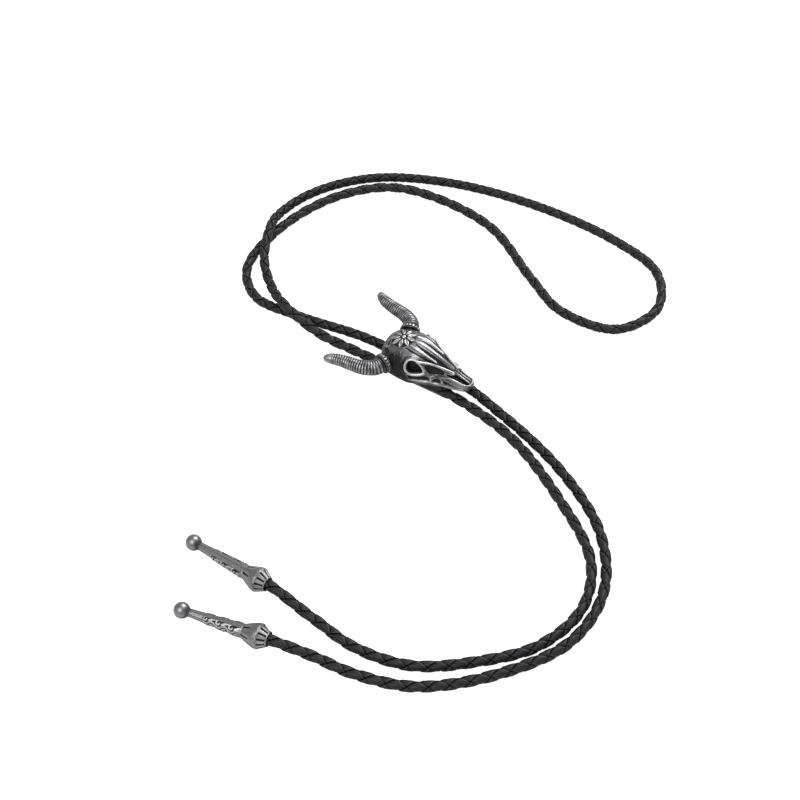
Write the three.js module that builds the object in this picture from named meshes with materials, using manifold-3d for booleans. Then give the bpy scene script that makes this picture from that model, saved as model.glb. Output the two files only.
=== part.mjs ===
// String tie with a cast skull slide, laid out on a flat surface.
// Millimetres, +Z up. The origin is the middle of the flat underside of the clip behind the slide,
// +Y runs from the slide to the neck loop, and the skull's nose points along -Y.

import * as THREE from 'three';
import { mergeVertices } from 'three/addons/utils/BufferGeometryUtils.js';
import Module from 'manifold-3d';

// Cord
const cordDiameter = 3.8;
const cordSides = 8;
const cordSteps = 84;
const bendSamples = 900;
const bendWeight = 0.04;
const pieceGap = 0.3;
const cordLead = 2;

// Clip behind the slide: a plate under the cord and a rib between its two strands
const clipLength = 16;
const clipWidth = 7.2;
const clipPlate = 0.8;
const clipRib = 2.4;
const straightReach = 2;

// Skull of the slide
const skullLength = 35.6;
const skullWidth = 19;
const skullDepth = 13.2;
const skullRear = 18.4;

// Eye sockets
const eyeLength = 6.4;
const eyeWidth = 4.5;
const eyeDepth = 2.6;
const eyeRim = 0.6;
const eyeRimHeight = 0.6;
const rimRoot = 1;

// Raised bars and slots of the nose
const ridgeThickness = 1.2;
const rodThickness = 1.3;
const edgeThickness = 0.8;
const nostrilLength = 6.6;
const nostrilWidth = 1.7;
const nostrilDepth = 1.6;
const cellDepth = 0.8;

// Flower on the forehead
const flowerDiameter = 8.6;
const flowerPetals = 9;
const flowerHeight = 0.7;
const flowerBoss = 1.9;
const petalFill = 0.72;
const petalLength = 0.8;

// Horns and their collars
const hornGirth = 5.8;
const hornRootX = 7;
const hornRootY = 13.4;
const hornTipX = 18.9;
const hornTipY = 33;
const hornHeight = 10.8;
const hornRise = 0.6;
const hornRibs = 22;
const hornRibDepth = 0.25;
const collarDiameter = 7.4;
const collarWidth = 2;
const collarStuds = 10;
const collarStudSize = 0.9;
const collarEdge = 0.36;

// Tips on the cord's two ends
const tipLength = 33.7;
const tipBall = 5.5;
const tipNeck = 2.8;
const tipShaft = 5;
const tipBell = 8.6;
const tipBellLength = 8.8;
const tipBevel = 3.2;
const tipLip = 0.3;
const tipSocket = 2;
const tipFlutes = 12;
const tipFluteWidth = 0.75;
const tipFluteDepth = 0.45;
const tipFluteShare = 0.8;
const tipScroll = 0.7;

// Where the two tips lie: the middle of the mouth, the heading from the ball to the mouth and the roll,
// in degrees
const tipPlaces = [
  { name: 'upper_tip', mouthX: -103.85, mouthY: -1.6, heading: -93.1, roll: 100 },
  { name: 'lower_tip', mouthX: -120.5, mouthY: -13.6, heading: -81.1, roll: 62 },
];

// The cord's route as x, y and the height above lying flat, in three stretches between the tips and the clip
const upperStrand = [
  [-105.5, -20.0, 0], [-107.5, -37.0, 0], [-103.9, -55.2, 0], [-91.9, -72.0, 0], [-76.5, -85.8, 0],
  [-57.3, -90.9, 0], [-39.5, -84.7, 0], [-22.1, -63.0, 0], [-7.9, -36.3, 0],
];
const neckLoop = [
  [-2.7, 30.0, 0], [-3.1, 46.0, 1.0], [-0.9, 62.0, 4.8], [8.0, 74.8, 1.1], [17.4, 84.1, 1.7], [29.3, 89.7, 4.7],
  [41.5, 93.4, 1.3], [59.0, 89.8, 0], [78.6, 74.4, 0], [92.2, 47.6, 0], [98.9, 12.0, 0], [97.6, -25.0, 0],
  [90.5, -45.6, 0], [73.5, -53.9, 0], [56.4, -45.4, 0], [54.0, -24.0, 0], [63.0, -6.5, 0], [79.0, 20.0, 0],
  [82.2, 47.0, 0], [77.7, 65.5, 0], [62.0, 80.6, 0], [36.5, 89.3, 0], [11.2, 87.8, 0], [0.4, 76.0, 0],
  [0.9, 57.0, 0], [4.7, 30.0, 0],
];
const lowerStrand = [
  [-0.2, -27.5, 0], [-11.6, -58.4, 0], [-27.9, -82.2, 0], [-48.0, -93.9, 0], [-70.0, -93.6, 0],
  [-91.8, -80.3, 0], [-109.4, -60.5, 0], [-115.6, -42.0, 0], [-117.2, -27.5, 0.3],
];

// Sections of the skull from the crown to the snout, in shares of its length, half width and depth:
// the underside, the widest place and the top
const skullSections = [
  { along: 0, half: 0.2, foot: 0.14, waist: 0.3, top: 0.48 },
  { along: 0.017, half: 0.48, foot: 0.08, waist: 0.3, top: 0.62 },
  { along: 0.056, half: 0.7, foot: 0.03, waist: 0.3, top: 0.765 },
  { along: 0.124, half: 0.885, foot: 0, waist: 0.29, top: 0.885 },
  { along: 0.208, half: 0.97, foot: 0, waist: 0.29, top: 0.955 },
  { along: 0.292, half: 1, foot: 0, waist: 0.29, top: 0.985 },
  { along: 0.376, half: 1, foot: 0, waist: 0.29, top: 1 },
  { along: 0.447, half: 0.905, foot: 0, waist: 0.28, top: 0.97 },
  { along: 0.517, half: 0.78, foot: 0, waist: 0.27, top: 0.91 },
  { along: 0.629, half: 0.61, foot: 0.01, waist: 0.26, top: 0.8 },
  { along: 0.742, half: 0.49, foot: 0.045, waist: 0.26, top: 0.65 },
  { along: 0.854, half: 0.395, foot: 0.09, waist: 0.26, top: 0.49 },
  { along: 0.933, half: 0.33, foot: 0.12, waist: 0.26, top: 0.41 },
  { along: 0.978, half: 0.24, foot: 0.145, waist: 0.26, top: 0.36 },
  { along: 1, half: 0.09, foot: 0.2, waist: 0.27, top: 0.33 },
];
const footWidth = 0.8;

// Raised bars on the skull, from and to: across in shares of the half width there, along in shares of
// the skull's length
const skullBars = [
  { name: 'middle ridge', acrossFrom: 0, from: 0.385, acrossTo: 0, to: 0.765, thickness: ridgeThickness },
  { name: 'side ridge', acrossFrom: 0.22, from: 0.385, acrossTo: 0.42, to: 0.62, thickness: ridgeThickness },
  { name: 'cheek rod', acrossFrom: 0.64, from: 0.484, acrossTo: 0.38, to: 0.809, thickness: rodThickness },
  { name: 'septum', acrossFrom: 0, from: 0.786, acrossTo: 0, to: 0.985, thickness: edgeThickness },
  { name: 'snout edge', acrossFrom: 0.78, from: 0.8, acrossTo: 0.8, to: 0.98, thickness: edgeThickness },
  { name: 'jaw edge', acrossFrom: 0.99, from: 0.402, acrossTo: 0.93, to: 0.955, thickness: edgeThickness },
];

// Places of the eyes, nostrils and jaw cells in the same shares, with the heading of the point on the -X side
const eyePlace = { across: 0.82, along: 0.44, heading: -104 };
const nostrilPlace = { across: 0.42, along: 0.896, heading: 105 };
const cellPlaces = [
  { across: 0.995, along: 0.505, length: 5 },
  { across: 0.995, along: 0.668, length: 2.9 },
  { across: 0.995, along: 0.79, length: 3.2 },
];
const flowerPlace = { across: 0, along: 0.206 };

// The horn's middle line in shares of the way from its root to its tip and of its rise, and its girth in shares
const hornLine = [
  { out: 0, back: 0, rise: 0, girth: 1 },
  { out: 0.17, back: 0.034, rise: 0, girth: 1 },
  { out: 0.405, back: 0.092, rise: 0, girth: 1 },
  { out: 0.556, back: 0.194, rise: 0, girth: 0.94 },
  { out: 0.659, back: 0.347, rise: 0, girth: 0.89 },
  { out: 0.706, back: 0.515, rise: 0.2, girth: 0.85 },
  { out: 0.746, back: 0.668, rise: 0.4, girth: 0.8 },
  { out: 0.81, back: 0.811, rise: 0.6, girth: 0.74 },
  { out: 0.889, back: 0.918, rise: 0.8, girth: 0.62 },
  { out: 1, back: 1, rise: 1, girth: 0.38 },
];
const collarRow = 1;

// How the bell widens from the shaft, in shares of the way to its widest place
const bellLine = [
  { along: 0.35, wide: 0.46 },
  { along: 0.75, wide: 0.88 },
];

// One scroll of the tips' relief, in shares of its own length along the shaft and of its half width
const scrollLine = [
  [0, 0.9], [0.1, 0.2], [0.3, -0.5], [0.5, 0], [0.7, 0.5], [0.9, -0.2], [1, -0.9],
];
const scrollCount = 3;
const scrollSteps = 5;
const scrollStart = 0.28;
const scrollEnd = 0.68;
const scrollHalfAngle = 36;
const scrollSides = [0, 180];

const silver = new THREE.MeshStandardMaterial({
  color: 0x8a8b8e, roughness: 0.38, metalness: 1, flatShading: true,
});
const steel = new THREE.MeshStandardMaterial({
  color: 0x77787a, roughness: 0.45, metalness: 1, flatShading: true,
});
const leather = new THREE.MeshStandardMaterial({ color: 0x1c1c1e, roughness: 0.62, metalness: 0 });

const cordRadius = cordDiameter / 2;
const channelWidth = cordDiameter + 2 * pieceGap;
const channelSpacing = clipRib + channelWidth;
const channelHeight = clipPlate + pieceGap + cordRadius;
const slideBack = clipPlate + channelWidth;
const tipMouth = channelWidth + 2 * tipLip;

const wasm = await Module();
wasm.setup();

// Booleans
function toSolid(geometry) {
  const bare = geometry.clone();
  bare.deleteAttribute('normal');
  bare.deleteAttribute('uv');
  const merged = mergeVertices(bare, 1e-4);
  const mesh = new wasm.Mesh({
    numProp: 3,
    vertProperties: new Float32Array(merged.attributes.position.array),
    triVerts: new Uint32Array(merged.index.array),
  });
  return new wasm.Manifold(mesh);
}

function toGeometry(solid) {
  const mesh = solid.getMesh();
  const geometry = new THREE.BufferGeometry();
  geometry.setAttribute('position', new THREE.BufferAttribute(new Float32Array(mesh.vertProperties), 3));
  geometry.setIndex(new THREE.BufferAttribute(new Uint32Array(mesh.triVerts), 1));
  geometry.computeVertexNormals();
  return geometry;
}

// Closed solid through rings of points, with a fan over each end
function loft(rings) {
  const count = rings[0].length;
  const positions = rings.flat().flatMap((point) => [point.x, point.y, point.z]);
  const index = [];
  for (let ring = 0; ring < rings.length - 1; ring += 1) {
    for (let side = 0; side < count; side += 1) {
      const a = ring * count + side;
      const b = ring * count + (side + 1) % count;
      index.push(a, b, a + count, b, b + count, a + count);
    }
  }
  for (const end of [0, rings.length - 1]) {
    const middle = rings[end].reduce((sum, point) => sum.add(point), new THREE.Vector3()).divideScalar(count);
    const hub = positions.length / 3;
    positions.push(middle.x, middle.y, middle.z);
    for (let side = 0; side < count; side += 1) {
      const a = end * count + side;
      const b = end * count + (side + 1) % count;
      index.push(...(end === 0 ? [hub, b, a] : [hub, a, b]));
    }
  }
  const geometry = new THREE.BufferGeometry();
  geometry.setAttribute('position', new THREE.Float32BufferAttribute(positions, 3));
  geometry.setIndex(index);
  geometry.computeVertexNormals();
  return geometry;
}

// The skull's section at a share of its length, between two rows of the table
function sectionAt(along) {
  const last = skullSections.length - 1;
  let row = skullSections.findIndex((section) => section.along > along) - 1;
  if (row < 0) {
    row = along <= 0 ? 0 : last - 1;
  }
  const from = skullSections[row];
  const to = skullSections[row + 1];
  const share = THREE.MathUtils.clamp((along - from.along) / (to.along - from.along), 0, 1);
  const mix = (key) => THREE.MathUtils.lerp(from[key], to[key], share);
  return {
    half: mix('half') * skullWidth / 2,
    foot: slideBack + mix('foot') * skullDepth,
    waist: slideBack + mix('waist') * skullDepth,
    top: slideBack + mix('top') * skullDepth,
  };
}

const skullY = (along) => skullRear - along * skullLength;
const skullX = (across, along) => across * sectionAt(along).half;

function skullSurface(x, y) {
  const section = sectionAt((skullRear - y) / skullLength);
  const inside = Math.max(0, 1 - (x / section.half) ** 2);
  return new THREE.Vector3(x, y, section.waist + (section.top - section.waist) * Math.sqrt(inside));
}

// Frame on the skull's surface: local +Z out of it, local +X turned from row +X by an angle in degrees
function skullFrame(x, y, turn) {
  const reach = ridgeThickness / 2;
  const alongX = skullSurface(x + reach, y).sub(skullSurface(x - reach, y));
  const alongY = skullSurface(x, y + reach).sub(skullSurface(x, y - reach));
  const out = alongX.cross(alongY).normalize();
  const angle = THREE.MathUtils.degToRad(turn);
  const heading = new THREE.Vector3(Math.cos(angle), Math.sin(angle), 0);
  const side = out.clone().cross(heading).normalize();
  const ahead = side.clone().cross(out).normalize();
  return new THREE.Matrix4().makeBasis(ahead, side, out).setPosition(skullSurface(x, y));
}

function skullBody() {
  const lowerSteps = 3;
  const upperSteps = 9;
  const rings = skullSections.map((row) => {
    const section = sectionAt(row.along);
    const foot = section.half * footWidth;
    const half = [[foot, section.foot]];
    for (let step = 1; step < lowerSteps; step += 1) {
      const angle = step / lowerSteps * Math.PI / 2;
      const x = foot + (section.half - foot) * Math.sin(angle);
      half.push([x, section.waist - (section.waist - section.foot) * Math.cos(angle)]);
    }
    for (let step = 0; step < upperSteps; step += 1) {
      const angle = step / upperSteps * Math.PI / 2;
      half.push([section.half * Math.cos(angle), section.waist + (section.top - section.waist) * Math.sin(angle)]);
    }
    const mirrored = half.map(([x, z]) => [-x, z]).reverse();
    const outline = [...half, [0, section.top], ...mirrored];
    return outline.map(([x, z]) => new THREE.Vector3(x, skullY(row.along), z));
  });
  return toSolid(loft(rings));
}

// Teardrop outline with its point along +X: a round end, then two sides bent through a shoulder
function teardrop(length, width) {
  const radius = width / 2;
  const middle = radius - length / 2;
  const roundEnd = Math.PI * 0.36;
  const shoulderX = length * 0.3;
  const shoulderY = radius * 0.75;
  const shape = new THREE.Shape();
  shape.absarc(middle, 0, radius, roundEnd, Math.PI * 2 - roundEnd, false);
  shape.quadraticCurveTo(shoulderX, -shoulderY, length / 2, 0);
  shape.quadraticCurveTo(shoulderX, shoulderY, middle + radius * Math.cos(roundEnd), radius * Math.sin(roundEnd));
  return shape;
}

function raised(shape, bottom, top, frame) {
  const settings = { depth: top - bottom, bevelEnabled: false, curveSegments: 5 };
  return toSolid(new THREE.ExtrudeGeometry(shape, settings).translate(0, 0, bottom).applyMatrix4(frame));
}

function skullBar(bar, mirror) {
  const points = [];
  const steps = 5;
  for (let step = 0; step <= steps; step += 1) {
    const along = THREE.MathUtils.lerp(bar.from, bar.to, step / steps);
    const across = THREE.MathUtils.lerp(bar.acrossFrom, bar.acrossTo, step / steps);
    points.push(skullSurface(mirror * skullX(across, along), skullY(along)));
  }
  return toSolid(roundBar(new THREE.CatmullRomCurve3(points), bar.thickness, 5, steps));
}

function roundBar(path, thickness, sides, steps) {
  const section = new THREE.Shape();
  for (let side = 0; side < sides; side += 1) {
    const angle = side / sides * Math.PI * 2;
    const x = Math.cos(angle) * thickness / 2;
    const y = Math.sin(angle) * thickness / 2;
    if (side === 0) {
      section.moveTo(x, y);
    } else {
      section.lineTo(x, y);
    }
  }
  section.closePath();
  return new THREE.ExtrudeGeometry(section, { steps, extrudePath: path, curveSegments: 1 });
}

function flower() {
  const reach = flowerDiameter / 2;
  const petalWidth = Math.PI * reach * petalFill / flowerPetals;
  const petalHalf = reach * petalLength / 2;
  const x = skullX(flowerPlace.across, flowerPlace.along);
  const y = skullY(flowerPlace.along);
  const boss = new THREE.SphereGeometry(flowerBoss / 2, 8, 6);
  let solid = toSolid(seatOnSkull(boss, x, y));
  for (let petal = 0; petal < flowerPetals; petal += 1) {
    const geometry = new THREE.SphereGeometry(1, 6, 4)
      .scale(petalHalf, petalWidth, flowerHeight)
      .translate(reach - petalHalf, 0, 0)
      .rotateZ(petal / flowerPetals * Math.PI * 2);
    solid = solid.add(toSolid(seatOnSkull(geometry, x, y)));
  }
  return solid;
}

// Lays a flat relief on the curved skull: each point keeps its height above the surface
function seatOnSkull(geometry, x, y) {
  const place = geometry.attributes.position;
  for (let i = 0; i < place.count; i += 1) {
    const seat = skullSurface(x + place.getX(i), y + place.getY(i));
    place.setXYZ(i, seat.x, seat.y, seat.z + place.getZ(i));
  }
  return geometry;
}

// Horn, collar and studs of the +X side
function hornPath() {
  const points = hornLine.map((row) => new THREE.Vector3(
    THREE.MathUtils.lerp(hornRootX, hornTipX, row.out),
    THREE.MathUtils.lerp(hornRootY, hornTipY, row.back),
    hornHeight + hornRise * row.rise,
  ));
  return new THREE.CatmullRomCurve3(points);
}

function girthAt(share) {
  const place = share * (hornLine.length - 1);
  const row = Math.min(Math.floor(place), hornLine.length - 2);
  return THREE.MathUtils.lerp(hornLine[row].girth, hornLine[row + 1].girth, place - row);
}

function horn() {
  const path = hornPath();
  const sides = 8;
  const stations = hornRibs * 2;
  const up = new THREE.Vector3(0, 0, 1);
  const rings = [];
  for (let station = 0; station <= stations; station += 1) {
    const share = station / stations;
    const curveShare = path.getUtoTmapping(share);
    const middle = path.getPoint(curveShare);
    const ahead = path.getTangent(curveShare);
    const out = new THREE.Vector3().crossVectors(up, ahead).normalize();
    const rib = station % 2 === 0 ? 0 : hornRibDepth;
    const radius = hornGirth / 2 * girthAt(curveShare) - rib;
    const ring = [];
    for (let side = 0; side < sides; side += 1) {
      const angle = side / sides * Math.PI * 2;
      ring.push(middle.clone()
        .addScaledVector(out, radius * Math.cos(angle))
        .addScaledVector(up, -radius * Math.sin(angle)));
    }
    rings.push(ring.reverse());
  }
  return toSolid(loft(rings));
}

function collar() {
  const path = hornPath();
  const place = collarRow / (hornLine.length - 1);
  const middle = path.getPoint(place);
  const ahead = path.getTangent(place);
  const out = new THREE.Vector3().crossVectors(new THREE.Vector3(0, 0, 1), ahead).normalize();
  const frame = new THREE.Matrix4().makeBasis(out, ahead, new THREE.Vector3().crossVectors(out, ahead))
    .setPosition(middle);
  const radius = collarDiameter / 2;
  const inner = radius - collarEdge;
  const profile = [
    [0, -collarWidth / 2], [inner, -collarWidth / 2], [radius, -collarWidth / 2 + collarEdge],
    [radius, -collarEdge], [inner, 0], [radius, collarEdge], [radius, collarWidth / 2 - collarEdge],
    [inner, collarWidth / 2], [0, collarWidth / 2],
  ];
  const ring = new THREE.LatheGeometry(profile.map(([x, y]) => new THREE.Vector2(x, y)), 14);
  let solid = toSolid(ring.applyMatrix4(frame));
  for (let stud = 0; stud < collarStuds; stud += 1) {
    const geometry = new THREE.SphereGeometry(collarStudSize / 2, 4, 3)
      .translate(radius, 0, 0)
      .rotateY(stud / collarStuds * Math.PI * 2)
      .applyMatrix4(frame);
    solid = solid.add(toSolid(geometry));
  }
  return solid;
}

function skullSlide() {
  const farHorn = horn().add(collar());
  let solid = skullBody().add(farHorn).add(farHorn.mirror([1, 0, 0])).add(flower());
  for (const mirror of [1, -1]) {
    const frameAt = (place) => {
      const heading = mirror === 1 ? 180 - place.heading : place.heading;
      return skullFrame(mirror * skullX(place.across, place.along), skullY(place.along), heading);
    };
    for (const bar of skullBars) {
      if (bar.acrossFrom > 0 || mirror === 1) {
        solid = solid.add(skullBar(bar, mirror));
      }
    }
    const eyeFrame = frameAt(eyePlace);
    const rimOutline = teardrop(eyeLength + 2 * eyeRim, eyeWidth + 2 * eyeRim);
    solid = solid.add(raised(rimOutline, -rimRoot, eyeRimHeight, eyeFrame));
    solid = solid.subtract(raised(teardrop(eyeLength, eyeWidth), -eyeDepth, 2 * eyeRimHeight, eyeFrame));
    const nostril = teardrop(nostrilLength, nostrilWidth);
    solid = solid.subtract(raised(nostril, -nostrilDepth, nostrilDepth, frameAt(nostrilPlace)));
    for (const place of cellPlaces) {
      const seat = skullSurface(mirror * skullX(place.across, place.along), skullY(place.along));
      const cell = new THREE.SphereGeometry(1, 6, 4)
        .scale(cellDepth, place.length / 2, cellDepth)
        .translate(seat.x, seat.y, seat.z);
      solid = solid.subtract(toSolid(cell));
    }
  }
  return toGeometry(solid);
}

// Plain clip: the cord's strands lie on its plate, on both sides of its rib
function cordClip() {
  const ribTop = slideBack - pieceGap;
  const outline = new THREE.Shape();
  outline.moveTo(-clipWidth / 2, 0);
  const corners = [
    [clipWidth / 2, 0], [clipWidth / 2, clipPlate], [clipRib / 2, clipPlate], [clipRib / 2, ribTop],
    [-clipRib / 2, ribTop], [-clipRib / 2, clipPlate], [-clipWidth / 2, clipPlate],
  ];
  for (const [x, z] of corners) {
    outline.lineTo(x, z);
  }
  outline.closePath();
  const geometry = new THREE.ExtrudeGeometry(outline, { depth: clipLength, bevelEnabled: false });
  return geometry.rotateX(Math.PI / 2).translate(0, clipLength / 2, 0);
}

// Tip, made along +Y from the middle of its ball, then laid down on its ball and its bell
const tipAxis = tipLength - tipBall / 2;
const tipWidest = tipAxis - tipBevel;
const tipTilt = Math.asin((tipBell - tipBall) / 2 / tipWidest);

function tipProfile() {
  const ballRadius = tipBall / 2;
  const points = [];
  const ballSteps = 7;
  const neckAngle = Math.asin(tipNeck / tipBall);
  for (let step = 0; step <= ballSteps; step += 1) {
    const angle = Math.PI - (Math.PI - neckAngle) * step / ballSteps;
    points.push([Math.sin(angle) * ballRadius, Math.cos(angle) * ballRadius]);
  }
  const bellStart = tipAxis - tipBellLength;
  points.push([tipShaft / 2, bellStart]);
  for (const { along, wide } of bellLine) {
    const width = THREE.MathUtils.lerp(tipShaft, tipBell, wide);
    points.push([width / 2, THREE.MathUtils.lerp(bellStart, tipWidest, along)]);
  }
  points.push([tipBell / 2, tipWidest]);
  points.push([tipMouth / 2, tipAxis]);
  points.push([cordRadius + pieceGap, tipAxis]);
  points.push([cordRadius + pieceGap, tipAxis - tipSocket]);
  points.push([0, tipAxis - tipSocket]);
  points[0][0] = 0; // the ball closes exactly on its axis
  return points.map(([radius, along]) => new THREE.Vector2(radius, along));
}

function shaftRadius(along) {
  const start = Math.sqrt(tipBall ** 2 - tipNeck ** 2) / 2;
  const share = (along - start) / (tipAxis - tipBellLength - start);
  return THREE.MathUtils.lerp(tipNeck, tipShaft, share) / 2;
}

function tipScrolls() {
  const scrolls = [];
  const step = (scrollEnd - scrollStart) * tipAxis / scrollCount;
  for (const side of scrollSides) {
    for (let scroll = 0; scroll < scrollCount; scroll += 1) {
      const flip = scroll % 2 === 0 ? 1 : -1;
      const points = scrollLine.map(([ahead, across]) => {
        const along = scrollStart * tipAxis + (scroll + ahead) * step;
        const angle = THREE.MathUtils.degToRad(side + flip * across * scrollHalfAngle);
        const radius = shaftRadius(along);
        return new THREE.Vector3(radius * Math.sin(angle), along, radius * Math.cos(angle));
      });
      scrolls.push(toSolid(roundBar(new THREE.CatmullRomCurve3(points), tipScroll, 4, scrollSteps)));
    }
  }
  return scrolls;
}

function tip() {
  let solid = toSolid(new THREE.LatheGeometry(tipProfile(), 16));
  for (const scroll of tipScrolls()) {
    solid = solid.add(scroll);
  }
  const slope = Math.atan2((tipBell - tipMouth) / 2, tipBevel);
  const bevelLength = Math.hypot((tipBell - tipMouth) / 2, tipBevel);
  for (let flute = 0; flute < tipFlutes; flute += 1) {
    const slot = new THREE.BoxGeometry(2 * tipFluteDepth, bevelLength * tipFluteShare, tipFluteWidth)
      .rotateZ(slope)
      .translate((tipBell + tipMouth) / 4, (tipWidest + tipAxis) / 2, 0)
      .rotateY((flute + 0.5) / tipFlutes * Math.PI * 2);
    solid = solid.subtract(toSolid(slot));
  }
  return toGeometry(solid);
}

function tipMatrix(place) {
  const heading = THREE.MathUtils.degToRad(place.heading);
  const ahead = new THREE.Vector3(
    Math.cos(heading) * Math.cos(tipTilt), Math.sin(heading) * Math.cos(tipTilt), Math.sin(tipTilt),
  );
  const side = new THREE.Vector3().crossVectors(ahead, new THREE.Vector3(0, 0, 1)).normalize();
  const over = new THREE.Vector3().crossVectors(side, ahead);
  const ball = new THREE.Vector3(place.mouthX, place.mouthY, 0).addScaledVector(ahead, -tipAxis);
  ball.z = tipBall / 2;
  const roll = new THREE.Matrix4().makeRotationY(THREE.MathUtils.degToRad(place.roll));
  return new THREE.Matrix4().makeBasis(side, ahead, over).setPosition(ball).multiply(roll);
}

// Cord from one tip, through the clip, round the neck, back through the clip and to the other tip
class CordRoute extends THREE.CatmullRomCurve3 {
  // Shorter steps where the route bends more
  getUtoTmapping(share, distance) {
    if (distance !== undefined) {
      return super.getUtoTmapping(share, distance);
    }
    if (!this.effort) {
      this.effort = [0];
      let before = this.getTangent(super.getUtoTmapping(0));
      for (let step = 1; step <= bendSamples; step += 1) {
        const after = this.getTangent(super.getUtoTmapping(step / bendSamples));
        this.effort.push(this.effort[step - 1] + 1 / bendSamples + bendWeight * before.angleTo(after));
        before = after;
      }
    }
    const wanted = share * this.effort[bendSamples];
    const row = Math.max(this.effort.findIndex((sum) => sum >= wanted), 1);
    const from = this.effort[row - 1];
    const part = (wanted - from) / (this.effort[row] - from);
    return super.getUtoTmapping((row - 1 + part) / bendSamples);
  }

  // The cord lies on the surface and never under it
  getPoint(share, target) {
    const point = super.getPoint(share, target);
    point.z = Math.max(point.z, cordRadius);
    return point;
  }
}

function cordPoints() {
  const inTip = [tipAxis - tipSocket + pieceGap, tipAxis + cordLead];
  const ends = tipPlaces.map((place) => inTip.map((along) => new THREE.Vector3(0, along, 0)
    .applyMatrix4(tipMatrix(place))));
  const free = (rows) => rows.map(([x, y, lift]) => new THREE.Vector3(x, y, cordRadius + lift));
  const reach = clipLength / 2 + straightReach;
  const channel = (side, y) => new THREE.Vector3(side * channelSpacing / 2, y, channelHeight);
  return [
    ...ends[0], ...free(upperStrand), channel(-1, -reach), channel(-1, reach), ...free(neckLoop),
    channel(1, reach), channel(1, -reach), ...free(lowerStrand), ...ends[1].reverse(),
  ];
}

function cord() {
  return roundBar(new CordRoute(cordPoints()), cordDiameter, cordSides, cordSteps);
}

function piece(name, geometry, material) {
  const mesh = new THREE.Mesh(geometry, material);
  mesh.name = name;
  return mesh;
}

const stringTie = new THREE.Group();
stringTie.name = 'string_tie';
stringTie.add(piece('skull_slide', skullSlide(), silver));
stringTie.add(piece('cord_clip', cordClip(), steel));
stringTie.add(piece('cord', cord(), leather));
for (const place of tipPlaces) {
  const mesh = piece(place.name, tip(), silver);
  mesh.applyMatrix4(tipMatrix(place));
  stringTie.add(mesh);
}

export default stringTie;
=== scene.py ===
# String tie: a cast ox skull slides on a braided leather cord that ends in two cast tips.
# Pieces are worked out in millimetres and turned to metres when their mesh is made.
import math
import bpy
import numpy as np
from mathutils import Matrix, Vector


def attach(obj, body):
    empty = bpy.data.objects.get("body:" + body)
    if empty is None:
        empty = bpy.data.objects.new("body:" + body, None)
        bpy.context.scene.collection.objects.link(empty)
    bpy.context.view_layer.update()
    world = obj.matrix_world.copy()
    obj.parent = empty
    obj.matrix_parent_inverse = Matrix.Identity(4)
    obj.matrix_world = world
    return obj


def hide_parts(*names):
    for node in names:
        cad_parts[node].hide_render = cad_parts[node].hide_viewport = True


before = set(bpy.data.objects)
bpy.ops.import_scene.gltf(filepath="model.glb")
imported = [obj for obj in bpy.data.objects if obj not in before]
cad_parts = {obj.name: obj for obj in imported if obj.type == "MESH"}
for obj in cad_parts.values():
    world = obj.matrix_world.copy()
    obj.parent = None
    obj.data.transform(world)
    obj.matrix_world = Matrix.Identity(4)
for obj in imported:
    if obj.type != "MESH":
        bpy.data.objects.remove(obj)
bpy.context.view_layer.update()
mm = 0.001
print("string tie: frame loaded")


# Camera: it looks down at 50 degrees, from the side of the near horn
view = {"place": (-0.32626, -0.18876, 0.43929), "azimuth": -58.3, "elevation": 50.0, "lens": 72.687}


def viewFacing():
    a, e = math.radians(view["azimuth"]), math.radians(view["elevation"])
    return Vector((math.sin(a) * math.cos(e), -math.cos(a) * math.cos(e), math.sin(e)))


def placeCamera():
    data = bpy.data.cameras.new("tieCamera")
    data.lens = view["lens"]
    data.sensor_width = 36.0
    data.clip_start, data.clip_end = 0.02, 20.0
    camera = bpy.data.objects.new("tieCamera", data)
    camera.rotation_mode = "QUATERNION"
    camera.location = view["place"]
    camera.rotation_quaternion = (-viewFacing()).to_track_quat("-Z", "Y")
    bpy.context.collection.objects.link(camera)
    bpy.context.scene.camera = camera


placeCamera()


# Small tools for curves and surfaces
def smoothRoute(points, perSpan):
    # Centripetal curve through every point
    pts = np.asarray(points, float)
    padded = np.vstack([2 * pts[0] - pts[1], pts, 2 * pts[-1] - pts[-2]])
    part = np.linspace(0, 1, perSpan, endpoint=False)[:, None]
    spans = []
    for i in range(len(pts) - 1):
        p0, p1, p2, p3 = padded[i:i + 4]
        d0, d1, d2 = (np.linalg.norm(b - a) ** 0.5 for a, b in ((p0, p1), (p1, p2), (p2, p3)))
        t1 = ((p1 - p0) / d0 - (p2 - p0) / (d0 + d1) + (p2 - p1) / d1) * d1
        t2 = ((p2 - p1) / d1 - (p3 - p1) / (d1 + d2) + (p3 - p2) / d2) * d1
        spans.append(p1 + t1 * part + (3 * (p2 - p1) - 2 * t1 - t2) * part ** 2
                     + (2 * (p1 - p2) + t1 + t2) * part ** 3)
    return np.vstack(spans + [pts[-1:]])


def travelled(route):
    return np.concatenate([[0], np.cumsum(np.linalg.norm(np.diff(route, axis=0), axis=1))])


def unit(vectors):
    return vectors / np.maximum(np.linalg.norm(vectors, axis=-1, keepdims=True), 1e-9)


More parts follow.
